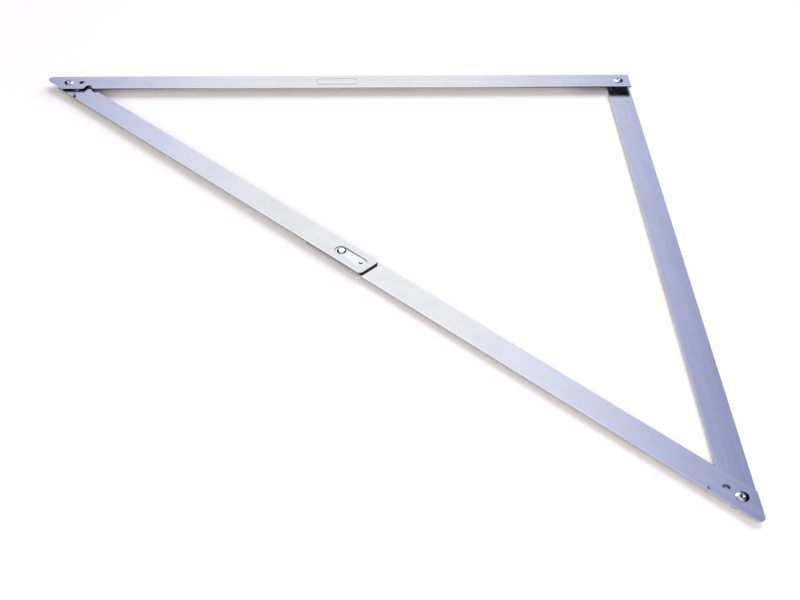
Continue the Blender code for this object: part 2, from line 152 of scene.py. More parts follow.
floor_mesh = bpy.data.meshes.new("floor")
bm = bmesh.new()
bmesh.ops.create_grid(bm, x_segments=1, y_segments=1, size=FLOOR_SIZE / 2)
bmesh.ops.translate(bm, verts=bm.verts, vec=(0, 0, -FLOOR_DROP))
bm.to_mesh(floor_mesh)
bm.free()
floor = bpy.data.objects.new("floor", floor_mesh)
bpy.context.scene.collection.objects.link(floor)
floor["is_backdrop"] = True
floor_material = bpy.data.materials.new("white sweep")
floor_material.use_nodes = True
floor_shader = floor_material.node_tree.nodes["Principled BSDF"]
floor_shader.inputs["Base Color"].default_value = FLOOR_WHITE
floor_shader.inputs["Roughness"].default_value = FLOOR_ROUGHNESS
floor_shader.inputs["Specular IOR Level"].default_value = 0.0
floor_mesh.materials.append(floor_material)
print("floor", FLOOR_SIZE, "m square")

# %% [markdown]
# ## What the metal sees
#
# Satin metal has hardly any colour of its own: it shows a blurred picture of the studio. In the photograph
# the bars are almost white in the middle and turn a darker lavender towards all three corners. So a neutral
# panel hangs over the square from front to back, with lavender walls on both sides that get dimmer
# outwards. Farther out the studio is black, which only the round rivet heads catch, as dark crescents
# beside their highlights.
#
# The world is coloured by where a ray would meet that ceiling: sideways over upwards gives its place across
# the panel. The panel is a little skewed, because the right side darkens sooner overhead than far behind.
# All edges are soft, so two smooth steps make the whole studio.

# %% Ceiling
PANEL_WHITE = (0.79, 0.79, 0.79)
PANEL_MIDDLE = -0.015  # all places across the panel are sideways over upwards
PANEL_EDGE_FROM, PANEL_EDGE_TO = 0.08, 0.60
WALL_LAVENDER = (0.39, 0.44, 0.78)
WALL_DIM_FROM, WALL_DIM_TO = 0.15, 1.0
BLACK = (0.0, 0.0, 0.0)
CEILING_STRENGTH = 1.65
CEILING_SKEW = 0.385
CEILING_SQUARE_ON = 1.7  # backwards over upwards, where the skew does nothing
SKEW_LEAST, SKEW_MOST = 0.6, 1.8
LOWEST_RISE = 0.03

world = bpy.data.worlds.new("Studio")
bpy.context.scene.world = world
world.use_nodes = True
sky = world.node_tree
ray = add_node(sky, "ShaderNodeTexCoord").outputs["Generated"]
axes = add_node(sky, "ShaderNodeSeparateXYZ", {"Vector": ray})
rise = add_sum(sky, "MAXIMUM", axes.outputs["Z"], LOWEST_RISE)
across = add_sum(sky, "DIVIDE", axes.outputs["X"], rise)
behind = add_sum(sky, "DIVIDE", axes.outputs["Y"], rise)
skew = add_sum(sky, "MULTIPLY_ADD", add_sum(sky, "SUBTRACT", CEILING_SQUARE_ON, behind), CEILING_SKEW, 1.0)
skew = add_sum(sky, "MINIMUM", add_sum(sky, "MAXIMUM", skew, SKEW_LEAST), SKEW_MOST)
place = add_sum(sky, "MULTIPLY", across, skew)
outwards = add_sum(sky, "ABSOLUTE", add_sum(sky, "SUBTRACT", place, PANEL_MIDDLE))
wall = add_mix(sky, add_range(sky, outwards, WALL_DIM_FROM, WALL_DIM_TO), WALL_LAVENDER, BLACK)
ceiling = add_mix(sky, add_range(sky, outwards, PANEL_EDGE_FROM, PANEL_EDGE_TO), PANEL_WHITE, wall)
print("a panel between two walls")

# %% [markdown]
# The panel ends a little in front of the square, because the photographer stands there in a dark room. That
# throws the shadows towards the viewer, and it gives the rivets' near sides their dark rims.

# %% Dark front
FRONT_FADE_START, FRONT_FADE_END = -0.25, -1.1  # backwards over upwards
FRONT_SHARE = 0.06

front = add_range(sky, behind, FRONT_FADE_END, FRONT_FADE_START, FRONT_SHARE, 1.0)
sky.links.new(add_mix(sky, front, BLACK, ceiling), sky.nodes["Background"].inputs["Color"])
sky.nodes["Background"].inputs["Strength"].default_value = CEILING_STRENGTH
print("the ceiling fades out in front of the square")

# %% [markdown]
# ## The key light
#
# The shadows are soft and lie towards the viewer and a little to the left, so the main light stands behind
# the square on the right. It is a very large panel, which keeps the shadows' edges wide. The metal doesn't
# mirror it: what the metal shows is painted on the ceiling, apart from the linked panels at the end.

# %% Key light
KEY_SIZE = 3.4
KEY_DISTANCE = 3.2
KEY_POWER = 102.0
KEY_COLOUR = (0.80, 0.84, 1.0)
KEY_HEADING = (50, 41)  # azimuth, elevation


def heading(azimuth, elevation):
    """A direction from the square: azimuth 0 is straight behind it, 90 is to the right."""
    a, e = math.radians(azimuth), math.radians(elevation)
    return Vector((math.sin(a) * math.cos(e), math.cos(a) * math.cos(e), math.sin(e)))


def add_panel(name, side, size, distance, power, colour):
    """A round panel that faces the square from one side. Metal doesn't mirror it."""
    data = bpy.data.lights.new(name, "AREA")
    data.shape = "DISK"
    data.size = size
    data.energy = power
    data.color = colour
    panel = bpy.data.objects.new(name, data)
    turn = side.to_track_quat("Z", "Y").to_matrix().to_4x4()
    panel.matrix_world = Matrix.Translation(side * distance) @ turn
    panel.visible_glossy = False
    bpy.context.scene.collection.objects.link(panel)
    print(name, "at", [round(v, 2) for v in panel.matrix_world.translation])


add_panel("key", heading(*KEY_HEADING), KEY_SIZE, KEY_DISTANCE, KEY_POWER, KEY_COLOUR)
bpy.context.scene.view_settings.view_transform = "Standard"

# %% [markdown]
# The room in front of the square isn't quite dark. A weak panel low over the viewer's head reaches in under
# the bars, so that the shadows beside them stay open and turn grey, not black.

# %% Fill light
FILL_SIZE = 3.4
FILL_DISTANCE = 3.4
FILL_POWER = 124.0
FILL_COLOUR = (0.87, 0.84, 0.90)
FILL_HEADING = (195, 33)

add_panel("fill", heading(*FILL_HEADING), FILL_SIZE, FILL_DISTANCE, FILL_POWER, FILL_COLOUR)

# %% [markdown]
# ## Where the bars lie
#
# Each bar is easiest to finish in its own frame: along the bar, across it, and up. These are the four
# pivots and the turn of each bar, worked out from the leg's length and the bar's width as on the solids.

# %% Bar frames
LEG_LENGTH = 0.6096
BAR_WIDTH = 0.0238
TIP_RADIUS = 0.0045
HALF_WIDTH = BAR_WIDTH / 2
TIP_REACH = HALF_WIDTH / math.tan(math.pi / 8)
PIVOT_SPAN = LEG_LENGTH - TIP_REACH - HALF_WIDTH
BRACE_SPAN = PIVOT_SPAN / math.sqrt(2)
OUTER_SPAN = LEG_LENGTH - TIP_RADIUS / math.tan(math.pi / 8) + TIP_RADIUS

corner_pivot = Vector((OUTER_SPAN / 2 - HALF_WIDTH, OUTER_SPAN / 2 - HALF_WIDTH, 0))
left_pivot = corner_pivot - Vector((PIVOT_SPAN, 0, 0))
right_pivot = corner_pivot - Vector((0, PIVOT_SPAN, 0))
middle_pivot = (left_pivot + right_pivot) / 2
bar_frames = {
    # bar: pivot, turn, length between its pivots
    "badge_leg": (left_pivot, 0.0, PIVOT_SPAN),
    "plain_leg": (corner_pivot, -math.pi / 2, PIVOT_SPAN),
    "catch_brace": (left_pivot, -math.pi / 4, BRACE_SPAN),
    "plain_brace": (right_pivot, math.pi * 3 / 4, BRACE_SPAN),
}
for name, (pivot, turn, _) in bar_frames.items():
    print(name, [round(v, 4) for v in pivot], f"{math.degrees(turn):.0f} degrees")

# %% [markdown]
# ## Brushed grain
#
# The strip is brushed along its length before it is anodised, which leaves fine lines of uneven gloss. They
# could be drawn one by one, but noise stretched along the bar does the same with two nodes. Two layers are
# mixed: hair-fine lines for near views, and broader soft streaks that still show from a metre away.

# %% Group: brushed grain
def new_group(name, inputs, outputs):
    """A node group, and its input and output nodes. Inputs are (name, socket type, value)."""
    group = bpy.data.node_groups.new(name, "ShaderNodeTree")
    for socket_name, kind, value in inputs:
        socket = group.interface.new_socket(socket_name, in_out="INPUT", socket_type=kind)
        if value is not None:
            socket.default_value = value
    for socket_name, kind in outputs:
        group.interface.new_socket(socket_name, in_out="OUTPUT", socket_type=kind)
    return group, group.nodes.new("NodeGroupInput"), group.nodes.new("NodeGroupOutput")


FLOAT, VECTOR = "NodeSocketFloat", "NodeSocketVector"
FINE_LINES = (45.0, 4200.0, 900.0)  # noise cells per metre, along, across and up
SOFT_STREAKS = (9.0, 330.0, 200.0)
FINE_DETAIL, SOFT_DETAIL = 3.0, 2.0
FINE_SHARE = 0.35
GRAIN_TONE = 0.16
GRAIN_GLOSS = 0.22

grain, grain_in, grain_out = new_group(
    "brushed grain",
    [("Place", VECTOR, None), ("Depth", FLOAT, 1.0)],
    [("Tone", FLOAT), ("Gloss", FLOAT), ("Height", FLOAT)],
)
layers = []
for scale, detail in ((FINE_LINES, FINE_DETAIL), (SOFT_STREAKS, SOFT_DETAIL)):
    inputs = {0: grain_in.outputs["Place"], 1: scale}
    stretched = add_node(grain, "ShaderNodeVectorMath", inputs, operation="MULTIPLY").outputs[0]
    noise = add_node(grain, "ShaderNodeTexNoise", {"Vector": stretched, "Scale": 1.0, "Detail": detail})
    layers.append(add_sum(grain, "SUBTRACT", noise.outputs["Fac"], 0.5))
fine, soft = layers
mixed = add_sum(grain, "MULTIPLY_ADD", fine, FINE_SHARE, soft)
scaled = add_sum(grain, "MULTIPLY", mixed, grain_in.outputs["Depth"])
grain.links.new(add_sum(grain, "MULTIPLY_ADD", scaled, GRAIN_TONE, 1.0), grain_out.inputs["Tone"])
grain.links.new(add_sum(grain, "MULTIPLY", scaled, GRAIN_GLOSS), grain_out.inputs["Gloss"])
grain.links.new(fine, grain_out.inputs["Height"])
print("group", grain.name)

# %% [markdown]
# ## Handling
#
# Hands and pockets leave cloudy smudges and a few hairline scratches across the grain. Both only change the
# gloss and, a very little, the tone. The clouds are plain noise. A scratch is noise stretched a little more
# than the grain, turned off the bar's line, and cut so high that only a few ridges are left.

# %% Group: handling
SMUDGE_CELLS = 38.0  # per metre
SMUDGE_DETAIL, SMUDGE_ROUGHNESS = 5.0, 0.62
SMUDGE_FROM, SMUDGE_TO = 0.42, 0.70
SCRATCH_CELLS = (14.0, 1500.0, 1.0)
SCRATCH_TURN = math.radians(27)
SCRATCH_DETAIL = 2.0
SCRATCH_FROM, SCRATCH_TO = 0.735, 0.76

handling, handling_in, handling_out = new_group(
    "handling",
    [("Place", VECTOR, None)],
    [("Smudges", FLOAT), ("Scratches", FLOAT)],
)
clouds = add_node(
    handling, "ShaderNodeTexNoise",
    {
        "Vector": handling_in.outputs["Place"], "Scale": SMUDGE_CELLS,
        "Detail": SMUDGE_DETAIL, "Roughness": SMUDGE_ROUGHNESS,
    },
)
handling.links.new(
    add_range(handling, clouds.outputs["Fac"], SMUDGE_FROM, SMUDGE_TO), handling_out.inputs["Smudges"]
)
turned_place = add_node(
    handling, "ShaderNodeMapping",
    {"Vector": handling_in.outputs["Place"], "Rotation": (0.0, 0.0, SCRATCH_TURN), "Scale": SCRATCH_CELLS},
)
hairs = add_node(
    handling, "ShaderNodeTexNoise",
    {"Vector": turned_place.outputs[0], "Scale": 1.0, "Detail": SCRATCH_DETAIL},
)
handling.links.new(
    add_range(handling, hairs.outputs["Fac"], SCRATCH_FROM, SCRATCH_TO), handling_out.inputs["Scratches"]
)
print("group", handling.name)

# %% [markdown]
# ## Cut walls and a painted edge highlight
#
# The strip's faces are brushed, but its sides, ends and holes are sheared or punched, and look different.
# One material can tell them apart by the direction a face looks in: a wall is a face that hardly looks up or
# down. Along one long edge a highlight is painted on the top face, so a second mask grows over the last two
# millimetres before that edge. Its Side input, 1 or -1, says which edge of the bar that is.

# %% Group: walls and edges
WALL_FROM, WALL_TO = 0.75, 0.35  # how far up or down a face may look
# Where the painted highlight along one long edge grows, across the bar.
EDGE_HIGHLIGHT_FROM, EDGE_HIGHLIGHT_TO = HALF_WIDTH - 0.0018, HALF_WIDTH - 0.0005

walls, walls_in, walls_out = new_group(
    "walls and edges",
    [("Place", VECTOR, None), ("Side", FLOAT, 1.0)],
    [("Wall", FLOAT), ("Worn", FLOAT)],
)
wall_normal = add_node(walls, "ShaderNodeTexCoord").outputs["Normal"]
looks = add_node(walls, "ShaderNodeSeparateXYZ", {0: wall_normal})
upright = add_sum(walls, "ABSOLUTE", looks.outputs["Z"])
wall = add_range(walls, add_sum(walls, "MULTIPLY", upright, -1.0), -WALL_FROM, -WALL_TO)
walls.links.new(wall, walls_out.inputs["Wall"])
across_bar = add_node(walls, "ShaderNodeSeparateXYZ", {0: walls_in.outputs["Place"]}).outputs["Y"]
to_side = add_sum(walls, "MULTIPLY", across_bar, walls_in.outputs["Side"])
# Painted highlight over the last millimetres before one long edge.
edge_highlight = add_range(walls, to_side, EDGE_HIGHLIGHT_FROM, EDGE_HIGHLIGHT_TO)
walls.links.new(edge_highlight, walls_out.inputs["Worn"])
print("group", walls.name)


def add_group(tree, group, place, **inputs):
    """A group's node, fed with a place."""
    node = add_node(tree, "ShaderNodeGroup", node_tree=group)
    tree.links.new(place, node.inputs["Place"])
    for key, value in inputs.items():
        node.inputs[key].default_value = value
    return node


# %% [markdown]
# ## Satin aluminium
#
# Clear anodised aluminium is a metal of middling reflectance with a soft gloss. Each bar gets its own copy of
# the material, because the grain follows the bar: a Mapping node turns the place on the piece into the bar's
# frame. The sheared walls are duller, and their tones are painted shade and light: each bar's walls have a
# tone of their own, the badge leg's are painted darkest towards both ends, and the plain leg's are painted
# the brightest. The badge leg's slanted end wall is painted light, and the catch brace's front end wall and
# the floor of its pocket are painted dark with shade. Round its two pivots, the underside of the badge leg
# carries a painted black shade film, and the bars below mirror it.

# %% Satin aluminium
SATIN = (0.604, 0.607, 0.626)
SATIN_ROUGHNESS = 0.16
WALL_ROUGHNESS = 0.42
BAR_LOOKS = {
    # bar: tone of its face, painted tone of its walls in the middle and near its ends, side of its painted
    # edge highlight
    "badge_leg": (1.00, 0.42, 0.02, -1.0),
    "plain_leg": (1.05, 1.00, 1.00, -1.0),
    "catch_brace": (1.04, 0.52, 0.44, -1.0),
    "plain_brace": (1.08, 0.58, 0.58, 1.0),
}
# Painted light: the badge leg's slanted end wall is lighter than its other walls.
SLANT_WALL_LIGHT = (0.85, 0.85, 0.85)  # of the badge leg's slanted end
BRACE_OVERHANG = 0.0345  # from the middle pivot to the end of either brace
# Painted shade: the catch brace's front end wall is near black.
FRONT_END_DEPTH = 0.0015
FRONT_END_SHADE = (0.04, 0.04, 0.05)
POCKET_FLOOR, POCKET_TOP = 0.0044, 0.0052  # heights between which only the pocket's floor looks up
# Painted shade on the floor of the catch brace's pocket.
POCKET_SHADE = (0.22, 0.22, 0.24)
# Painted shade on the walls grows between these shares of the span.
WALL_SHADE_FROM, WALL_SHADE_TO = 0.18, 0.46  # shares of the span, from its middle
# Painted highlight along one long edge of the top face.
EDGE_HIGHLIGHT_GAIN = 0.24
SMUDGE_TONE, SCRATCH_TONE = -0.022, -0.10
SMUDGE_GLOSS = 0.05
GRAIN_BUMP = 0.06
GRAIN_RELIEF = 0.00002
# Painted black shade film on the badge leg's underside, measured from each pivot.
PIVOT_SHADE_FROM, PIVOT_SHADE_TO = 0.055, 0.034  # from the pivot
PIVOT_SHADE_FILM = (0.004, 0.004, 0.006)


def new_metal(name, colour, roughness):
    """A metal's material, its tree and its shader."""
    material = bpy.data.materials.new(name)
    material.use_nodes = True
    shader = material.node_tree.nodes["Principled BSDF"]
    shader.inputs["Base Color"].default_value = (*colour, 1.0)
    shader.inputs["Roughness"].default_value = roughness
    shader.inputs["Metallic"].default_value = 1.0
    return material, material.node_tree, shader


def local_place(tree, pivot, turn):
    """Object coordinates in a frame that stands at pivot and is turned about Z."""
    coordinates = add_node(tree, "ShaderNodeTexCoord")
    inputs = {"Vector": coordinates.outputs["Object"], "Location": tuple(pivot), "Rotation": (0.0, 0.0, turn)}
    return add_node(tree, "ShaderNodeMapping", inputs, vector_type="TEXTURE").outputs[0]


def painted_pivot_shade(tree, pivot):
    """A mask of painted black shade for the underside of the badge leg round one of its pivots."""
    inputs = {0: local_place(tree, pivot, 0.0)}
    from_pivot = add_node(tree, "ShaderNodeVectorMath", inputs, operation="LENGTH")
    near_pivot = add_range(tree, from_pivot.outputs["Value"], PIVOT_SHADE_TO, PIVOT_SHADE_FROM, 1.0, 0.0)
    normal = add_node(tree, "ShaderNodeTexCoord").outputs["Normal"]
    faces = add_node(tree, "ShaderNodeSeparateXYZ", {0: normal})
    looks_down = add_sum(tree, "LESS_THAN", faces.outputs["Z"], -WALL_FROM)
    return add_sum(tree, "MULTIPLY", near_pivot, looks_down)


def new_bar_metal(bar):
    pivot, turn, span = bar_frames[bar]
    material, tree, shader = new_metal(f"satin {bar}", SATIN, SATIN_ROUGHNESS)
    place = local_place(tree, pivot, turn)
    brushed = add_group(tree, grain, place, Depth=1.0)
    handled = add_group(tree, handling, place)
    face_tone, middle_tone, shaded_end_tone, side = BAR_LOOKS[bar]
    cut = add_group(tree, walls, place, Side=side)
    along = add_node(tree, "ShaderNodeSeparateXYZ", {0: place}).outputs["X"]
    from_middle = add_sum(tree, "ABSOLUTE", add_sum(tree, "SUBTRACT", along, span / 2))
    # The walls' painted shade darkens towards the ends.
    toward_shaded_end = add_range(tree, from_middle, span * WALL_SHADE_FROM, span * WALL_SHADE_TO)
    wall_colour = add_mix(tree, toward_shaded_end, (middle_tone,) * 3, (shaded_end_tone,) * 3)
    # Painted light on the badge leg's slanted end wall.
    if bar == "badge_leg":
        beyond_slant = add_sum(tree, "LESS_THAN", along, BAR_WIDTH - TIP_REACH)
        wall_colour = add_mix(tree, beyond_slant, wall_colour, SLANT_WALL_LIGHT)
    # Painted shade on the catch brace's front end wall.
    if bar == "catch_brace":
        at_front_end = add_sum(tree, "GREATER_THAN", along, span + BRACE_OVERHANG - FRONT_END_DEPTH)
        wall_colour = add_mix(tree, at_front_end, wall_colour, FRONT_END_SHADE)
    face = add_node(tree, "ShaderNodeVectorMath", {0: [c * face_tone for c in SATIN]}, operation="SCALE")
    # The painted edge highlight lightens the face along one long edge.
    tone = add_sum(tree, "MULTIPLY_ADD", cut.outputs["Worn"], EDGE_HIGHLIGHT_GAIN, brushed.outputs["Tone"])
    tone = add_sum(tree, "MULTIPLY_ADD", handled.outputs["Smudges"], SMUDGE_TONE, tone)
    tone = add_sum(tree, "MULTIPLY_ADD", handled.outputs["Scratches"], SCRATCH_TONE, tone)
    tree.links.new(tone, face.inputs["Scale"])
    colour = add_mix(tree, cut.outputs["Wall"], face.outputs[0], wall_colour)
    # Painted black shade film on the badge leg's underside round both pivots.
    if bar == "badge_leg":
        pivot_shading = add_sum(tree, "MAXIMUM", painted_pivot_shade(tree, corner_pivot), painted_pivot_shade(tree, left_pivot))
        colour = add_mix(tree, pivot_shading, colour, PIVOT_SHADE_FILM)
    # Painted shade on the floor of the catch brace's pocket.
    if bar == "catch_brace":
        height = add_node(tree, "ShaderNodeSeparateXYZ", {0: place}).outputs["Z"]
        above = add_sum(tree, "GREATER_THAN", height, POCKET_FLOOR)
        below = add_sum(tree, "LESS_THAN", height, POCKET_TOP)
        in_pocket = add_sum(tree, "MULTIPLY", above, below)
        not_wall = add_sum(tree, "SUBTRACT", 1.0, cut.outputs["Wall"])
        shaded_pocket_floor = add_sum(tree, "MULTIPLY", in_pocket, not_wall)
        colour = add_mix(tree, shaded_pocket_floor, colour, POCKET_SHADE)
    tree.links.new(colour, shader.inputs["Base Color"])
    gloss = add_sum(tree, "ADD", brushed.outputs["Gloss"], SATIN_ROUGHNESS)
    gloss = add_sum(tree, "MULTIPLY_ADD", handled.outputs["Smudges"], SMUDGE_GLOSS, gloss)
    gloss = add_sum(tree, "MULTIPLY_ADD", cut.outputs["Wall"], WALL_ROUGHNESS - SATIN_ROUGHNESS, gloss)
    tree.links.new(gloss, shader.inputs["Roughness"])
    bump = add_node(
        tree, "ShaderNodeBump",
        {"Strength": GRAIN_BUMP, "Distance": GRAIN_RELIEF, "Height": brushed.outputs["Height"]},
    )
    tree.links.new(bump.outputs[0], shader.inputs["Normal"])
    return material


def dress(piece, material):
    """Gives a piece one material only."""
    piece.data.materials.clear()
    piece.data.materials.append(material)


for bar in bar_frames:
    dress(nodes[bar], new_bar_metal(bar))
    print(bar, "dressed")

# %% [markdown]
# ## Bright plating
#
# The rivets and pins are steel with bright nickel plating, so smooth that they mirror the dark studio and
# the bright ceiling side by side. One material serves for all of them. Fine noise stands for the unevenness
# of the plating: where it is high, the plating is duller and a little rougher.

# %% Bright plating
PLATING = (0.42, 0.42, 0.44)
PLATING_DULL = (0.34, 0.34, 0.35)
PLATING_ROUGHNESS = 0.06
PLATING_CELLS = 900.0
PLATING_DETAIL = 3.0
DULL_FROM, DULL_TO = 0.50, 0.72
DULL_GLOSS = 0.10
PLATING_BUMP = 0.08
PLATING_RELIEF = 0.00003

plating, tree, shader = new_metal("bright plating", PLATING, PLATING_ROUGHNESS)
coordinates = add_node(tree, "ShaderNodeTexCoord").outputs["Object"]
handled = add_group(tree, handling, coordinates)
inputs = {"Vector": coordinates, "Scale": PLATING_CELLS, "Detail": PLATING_DETAIL}
specks = add_node(tree, "ShaderNodeTexNoise", inputs)
dull = add_range(tree, specks.outputs["Fac"], DULL_FROM, DULL_TO)
tree.links.new(add_mix(tree, dull, PLATING, PLATING_DULL), shader.inputs["Base Color"])
gloss = add_sum(tree, "MULTIPLY_ADD", dull, DULL_GLOSS, PLATING_ROUGHNESS)
gloss = add_sum(tree, "MULTIPLY_ADD", handled.outputs["Smudges"], SMUDGE_GLOSS, gloss)
tree.links.new(gloss, shader.inputs["Roughness"])
inputs = {"Strength": PLATING_BUMP, "Distance": PLATING_RELIEF, "Height": specks.outputs["Fac"]}
bump = add_node(tree, "ShaderNodeBump", inputs)
tree.links.new(bump.outputs[0], shader.inputs["Normal"])
print("material", plating.name)

# %% [markdown]
# ## Zinc and spring steel
#
# The washers and the collar are hidden between the bars, and are dull zinc with its cloudy patches. The
# leaf is stainless spring steel, ground along its length, and the brightest piece on the tool.

# %% Zinc and spring steel
ZINC = (0.42, 0.43, 0.45)
ZINC_DULL = (0.26, 0.27, 0.28)
ZINC_ROUGHNESS = 0.38
ZINC_PATCH_GLOSS = 0.2
ZINC_CELLS = 420.0
LEAF_STEEL = (0.76, 0.76, 0.77)
LEAF_ROUGHNESS = 0.24
LEAF_GRAIN = 0.7
LEAF_SMUDGE_GLOSS = 0.06
LEAF_BUMP = 0.05

zinc, tree, shader = new_metal("dull zinc", ZINC, ZINC_ROUGHNESS)
coordinates = add_node(tree, "ShaderNodeTexCoord").outputs["Object"]
spangle = add_node(tree, "ShaderNodeTexVoronoi", {"Vector": coordinates, "Scale": ZINC_CELLS})
patch = add_node(tree, "ShaderNodeSeparateXYZ", {0: spangle.outputs["Color"]}).outputs["X"]
tree.links.new(add_mix(tree, patch, ZINC, ZINC_DULL), shader.inputs["Base Color"])
gloss = add_sum(tree, "MULTIPLY_ADD", patch, ZINC_PATCH_GLOSS, ZINC_ROUGHNESS)
tree.links.new(gloss, shader.inputs["Roughness"])

leaf_steel, tree, shader = new_metal("leaf steel", LEAF_STEEL, LEAF_ROUGHNESS)
place = local_place(tree, middle_pivot, -math.pi / 4)
brushed = add_group(tree, grain, place, Depth=LEAF_GRAIN)
handled = add_group(tree, handling, place)
face = add_node(tree, "ShaderNodeVectorMath", {0: LEAF_STEEL}, operation="SCALE")
tree.links.new(brushed.outputs["Tone"], face.inputs["Scale"])
tree.links.new(face.outputs[0], shader.inputs["Base Color"])
gloss = add_sum(tree, "ADD", brushed.outputs["Gloss"], LEAF_ROUGHNESS)
gloss = add_sum(tree, "MULTIPLY_ADD", handled.outputs["Smudges"], LEAF_SMUDGE_GLOSS, gloss)
tree.links.new(gloss, shader.inputs["Roughness"])
inputs = {"Strength": LEAF_BUMP, "Distance": GRAIN_RELIEF, "Height": brushed.outputs["Height"]}
bump = add_node(tree, "ShaderNodeBump", inputs)
tree.links.new(bump.outputs[0], shader.inputs["Normal"])

for name, node in nodes.items():
    if name not in bar_frames:
        zinc_node = name.endswith(("washer", "collar"))
        dress(node, zinc if zinc_node else leaf_steel if name == "catch_spring" else plating)
print("materials", zinc.name, "and", leaf_steel.name)

# %% [markdown]
# ## Turned rivets
#
# The four pivots are held by low-headed rivets, with a sloping rim, a flat top and a small dimple from the
# setting tool. Their tails are spread flush into countersinks underneath. A turned piece could be a
# cylinder with bevels, but a lathe shows the shape better: a half outline is spun round the axis.
# Seventy-two steps with smooth shading stay round even close up, where the solids' forty show their facets.

# %% Lathe
SPIN_STEPS = 72
SEAM = 0.000001
SHARP_ANGLE = math.radians(30)


def finish_piece(bm, name, matrix, material):
    """Turns a bmesh into a finished piece, with its place in its mesh."""
    bmesh.ops.recalc_face_normals(bm, faces=bm.faces)
    bmesh.ops.transform(bm, matrix=matrix, verts=bm.verts)
    mesh = bpy.data.meshes.new(name)
    bm.to_mesh(mesh)
    bm.free()
    mesh.shade_smooth()
    mesh.set_sharp_from_angle(angle=SHARP_ANGLE)
    mesh.materials.append(material)
    piece = bpy.data.objects.new(name, mesh)
    bpy.context.scene.collection.objects.link(piece)
    print(f"{name}: {len(mesh.polygons)} faces")
    return piece


def turn_piece(name, outline, pivot, node, body):
    """A piece spun from (radius, z) points, in place of a CAD node."""
    bm = bmesh.new()
    points = [bm.verts.new((radius, 0.0, z)) for radius, z in outline]
    edges = [bm.edges.new(pair) for pair in zip(points, points[1:])]
    bmesh.ops.spin(bm, geom=points + edges, cent=(0, 0, 0), axis=(0, 0, 1), dvec=(0, 0, 0),
                   angle=math.tau, steps=SPIN_STEPS, use_merge=True)
    bmesh.ops.remove_doubles(bm, verts=bm.verts, dist=SEAM)
    piece = finish_piece(bm, name, Matrix.Translation(pivot), plating)
    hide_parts(node)
    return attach(piece, body)


print("lathe set for", SPIN_STEPS, "steps")

# %% [markdown]
# A head's outline starts at the middle of its dimple and ends at its seat. The rim is a straight slope, and
# each side of it mirrors another part of the studio. That gives the heads the dark and bright crescents
# much like those in the photograph.

# %% Rivets
SHANK_RADIUS = 0.0024
HEAD_HEIGHT = 0.0010
HEAD_EDGE = 0.0003
DIMPLE = ((0.0, 0.00025), (0.0006, 0.00025), (0.0009, 0.00008), (0.0012, 0.0))  # radius, depth
TAIL_RADIUS = 0.0038
TAIL_DEPTH = 0.0009
TAIL_PIT_RADIUS = 0.0013
TAIL_PIT_DEPTH = 0.0007
RUNNING_GAP = 0.00005


def head_outline(seat, radius, flat_radius):
    seat += RUNNING_GAP
    top = seat + HEAD_HEIGHT
    outline = [(r, top - depth) for r, depth in DIMPLE]
    outline += [(flat_radius, top), (radius, seat + HEAD_EDGE)]
    return outline + [(radius, seat), (SHANK_RADIUS, seat)]


def tail_outline(low):
    low += RUNNING_GAP
    pit = [(TAIL_PIT_RADIUS, low), (0.0, low + TAIL_PIT_DEPTH)]
    return [(SHANK_RADIUS, low + TAIL_DEPTH), (TAIL_RADIUS, low)] + pit


HEAD = (0.0048, 0.0030)  # radius, radius of the flat
MIDDLE_HEAD = (0.0042, 0.0027)
RIVET_SEATS = {
    # rivet: pivot, seat of the head, underside of the tail, body
    "left_rivet": (left_pivot, 0.0080, 0.0040, "badge_leg"),
    "corner_rivet": (corner_pivot, 0.0080, 0.0, "badge_leg"),
    "right_rivet": (right_pivot, 0.0036, 0.0, "plain_leg"),
}
for name, (pivot, seat, low, body) in RIVET_SEATS.items():
    turn_piece(f"turned_{name}", head_outline(seat, *HEAD) + tail_outline(low), pivot, name, body)

# %% [markdown]
# The middle rivet is in two halves, since the linkage parts there. Its head clamps the leaf, one layer
# higher than the bar, and its tail stays in the plain brace.

# %% Middle rivet
LEAF_TOP = 0.00515
UPPER_END = 0.00365
SPLIT_GAP = 0.0003
PLAIN_BRACE_LOW = 0.0020

upper = head_outline(LEAF_TOP, *MIDDLE_HEAD) + [(SHANK_RADIUS, UPPER_END), (0.0, UPPER_END)]
turn_piece("turned_middle_rivet", upper, middle_pivot, "middle_rivet", "catch_brace")
lower = [(0.0, UPPER_END - SPLIT_GAP), (SHANK_RADIUS, UPPER_END - SPLIT_GAP)] + tail_outline(PLAIN_BRACE_LOW)
turn_piece("turned_middle_rivet_tail", lower, middle_pivot, "middle_rivet_tail", "plain_brace")

# %% [markdown]
# ## The catch's leaf
#
# The leaf is a strip of spring steel with round ends, held by the middle rivet at one end and by the pin at
# the other. Lifting the pin bends it. So the leaf needs rows of points to bend at, which its flat solid
# doesn't have. Its outline is a circle pulled apart into a slot shape, with two circles as holes. A
# triangle fill makes the face, plane cuts add the rows, an extrusion gives the thickness, and a small bevel
# breaks the upper edge.

# %% Leaf
LEAF_LENGTH = 0.0347
LEAF_WIDTH = 0.0102
LEAF_BACK = 0.0061  # from the rivet to the leaf's rounded end
LEAF_THICKNESS = 0.0004
LEAF_EDGE = 0.00008
PIN_HOLE_RADIUS = 0.0013
PIN_REACH = LEAF_LENGTH - LEAF_BACK - LEAF_WIDTH / 2
LEAF_ROWS = 24
CIRCLE_STEPS = 48

